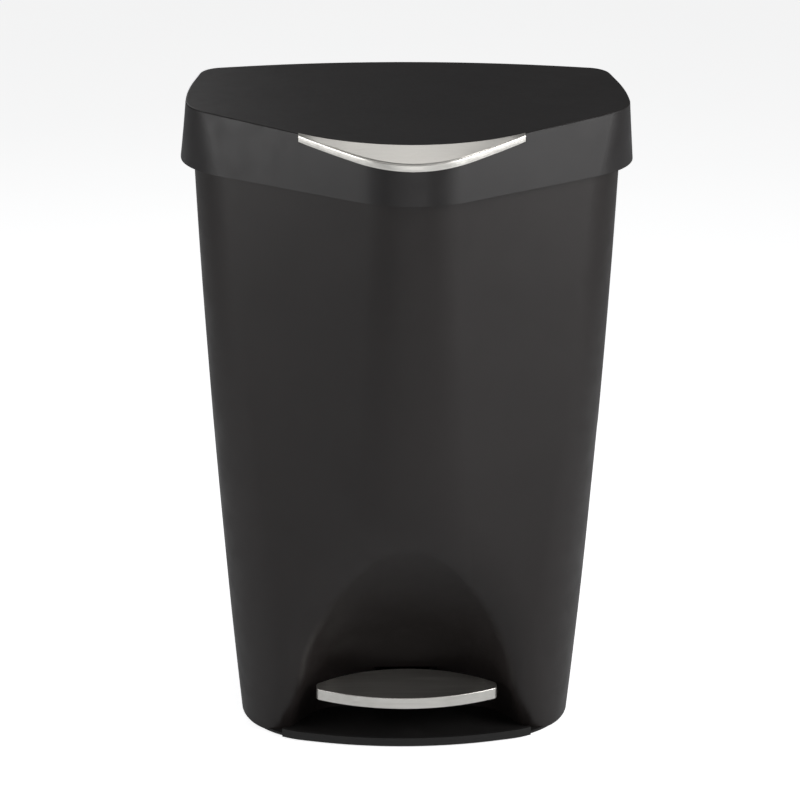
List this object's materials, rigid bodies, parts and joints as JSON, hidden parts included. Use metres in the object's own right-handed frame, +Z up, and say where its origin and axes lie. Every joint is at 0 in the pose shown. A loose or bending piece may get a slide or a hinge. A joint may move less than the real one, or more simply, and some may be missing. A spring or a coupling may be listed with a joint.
{
  "type": "pedal bin",
  "caption": "Free-standing kitchen waste bin with a tapered D-shaped body, a hinged lid with a metal grip, and a foot pedal in a toe recess that lifts the lid through a push rod.",
  "frame": {"origin": "on the floor, under the middle of the lid's width and depth", "axes": "+Z up, -Y out of the pedal side, +X to the right seen from the pedal side"},
  "size_m": [0.5068, 0.3401, 0.7334],
  "materials": {
    "body_plastic": "satin black moulded polypropylene, fine texture",
    "lid_plastic": "satin black moulded polypropylene, fine texture",
    "base_plastic": "matte black moulded plastic",
    "bush_plastic": "natural acetal",
    "nickel": "satin nickel",
    "zinc_steel": "zinc-plated steel",
    "rubber": "black rubber"
  },
  "bodies": {
    "body": {"body_shell": "body_plastic", "rod_channel_cover": "body_plastic", "base_tray": "base_plastic", "rubber_feet": "rubber", "tray_screws": "zinc_steel", "pedal_axle": "zinc_steel", "axle_bush_left": "bush_plastic", "axle_bush_right": "bush_plastic", "axle_clips": "zinc_steel", "rod_guide_lower": "bush_plastic", "rod_guide_upper": "bush_plastic", "hinge_rod": "zinc_steel", "hinge_bracket_left": "base_plastic", "hinge_bracket_right": "base_plastic", "hinge_screws": "zinc_steel", "hinge_rod_caps": "zinc_steel"},
    "lid": {"lid_shell": "lid_plastic", "lid_handle": "nickel", "handle_screws": "zinc_steel", "lid_bumpers": "rubber", "lid_crank": "base_plastic", "lid_crank_pin": "zinc_steel"},
    "pedal": {"pedal_lever": "base_plastic", "pedal_pad": "nickel", "pedal_pad_core": "base_plastic", "pedal_pad_screws": "zinc_steel"},
    "rod": {"push_rod": "zinc_steel", "push_rod_head": "bush_plastic", "push_rod_foot": "bush_plastic", "push_rod_foot_pin": "zinc_steel"}
  },
  "joints": [
    {"name": "lid_hinge", "type": "hinge", "parent": "body", "child": "lid", "pos_m": [0, 0.16, 0.648], "axis": [-1, 0, 0], "range_deg": [0, 80]},
    {"name": "pedal_pivot", "type": "hinge", "parent": "body", "child": "pedal", "pos_m": [0, 0.01, 0.04], "axis": [1, 0, 0], "range_deg": [0, 12.71]},
    {"name": "rod_slide", "type": "slide", "parent": "body", "child": "rod", "axis": [0, 0, 1], "range_m": [0, 0.0283]}
  ],
  "couplings": [
    {"joint": "pedal_pivot", "follows": "lid_hinge", "ratio": 0.15857},
    {"joint": "rod_slide", "follows": "lid_hinge", "m_per_rad": 0.020256}
  ]
}
